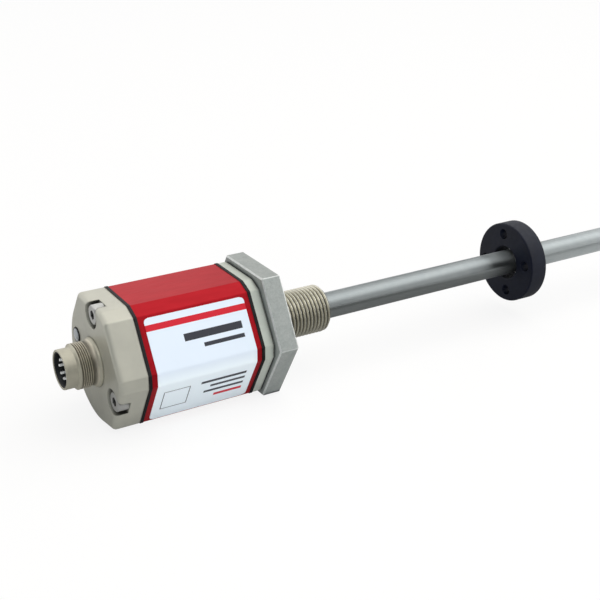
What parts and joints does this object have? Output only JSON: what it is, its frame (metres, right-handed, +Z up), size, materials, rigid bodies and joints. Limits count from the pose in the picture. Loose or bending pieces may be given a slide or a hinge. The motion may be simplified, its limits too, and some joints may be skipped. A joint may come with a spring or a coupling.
{
  "type": "magnetostrictive position sensor",
  "caption": "Rod-type linear position sensor: faceted housing with round connector, screw-in hexagon flange, long pressure rod and a drilled ring magnet that slides along it.",
  "frame": {"origin": "on the rod's axis in the plane of the flange's mounting face, the face that is screwed against the port", "axes": "+X along the rod from the flange to the rod's tip, +Z up; the label side of the housing looks towards -Y and down towards the front"},
  "size_m": [0.3424, 0.0532, 0.046],
  "materials": {
    "painted_cap": "satin",
    "red_shell": "satin",
    "label_film": "gloss",
    "black_rubber": "matte",
    "flange_steel": "brushed",
    "rod_steel": "brushed",
    "connector_metal": "satin",
    "bright_steel": "polished",
    "contact_metal": "polished",
    "black_insert": "matte",
    "window": "gloss",
    "lamp": "gloss",
    "chassis_plastic": "matte",
    "board": "satin",
    "chip_black": "matte",
    "tinned": "satin",
    "copper": "satin",
    "bobbin_plastic": "matte",
    "hard_magnet": "matte",
    "guide_alloy": "polished",
    "sleeve_plastic": "satin",
    "damper_rubber": "matte",
    "ring_ferrite": "satin"
  },
  "bodies": {
    "sensor": {"connector_shell": "connector_metal", "connector_insert": "black_insert", "connector_pins": "contact_metal", "connector_washer": "black_rubber", "connector_nut": "bright_steel", "connector_leads": "copper", "end_cap": "painted_cap", "cap_screws": "bright_steel", "status_window": "window", "status_lamp": "lamp", "cap_gasket": "black_rubber", "housing_shell": "red_shell", "label": "label_film", "cover_gasket": "black_rubber", "flange_cover": "painted_cap", "cover_screws": "bright_steel", "flange_nut": "bright_steel", "chassis": "chassis_plastic", "circuit_board": "board", "lead_terminal": "chip_black", "shield_can": "tinned", "amplifier": "chip_black", "processor": "chip_black", "capacitors": "tinned", "pickup_bobbin": "bobbin_plastic", "pickup_winding": "copper", "bias_magnet": "hard_magnet", "process_flange": "flange_steel", "port_seal": "black_rubber", "pressure_tube": "rod_steel", "rod_end_plug": "rod_steel", "waveguide_wire": "guide_alloy", "waveguide_sleeve": "sleeve_plastic", "tube_spacers": "damper_rubber", "waveguide_damper": "damper_rubber", "end_contact": "copper", "return_conductor": "copper"},
    "magnet": {"position_magnet": "ring_ferrite"}
  },
  "joints": [
    {"name": "magnet_slide", "type": "slide", "parent": "sensor", "child": "magnet", "axis": [1, 0, 0], "range_m": [-0.0695, 0.0805]}
  ]
}
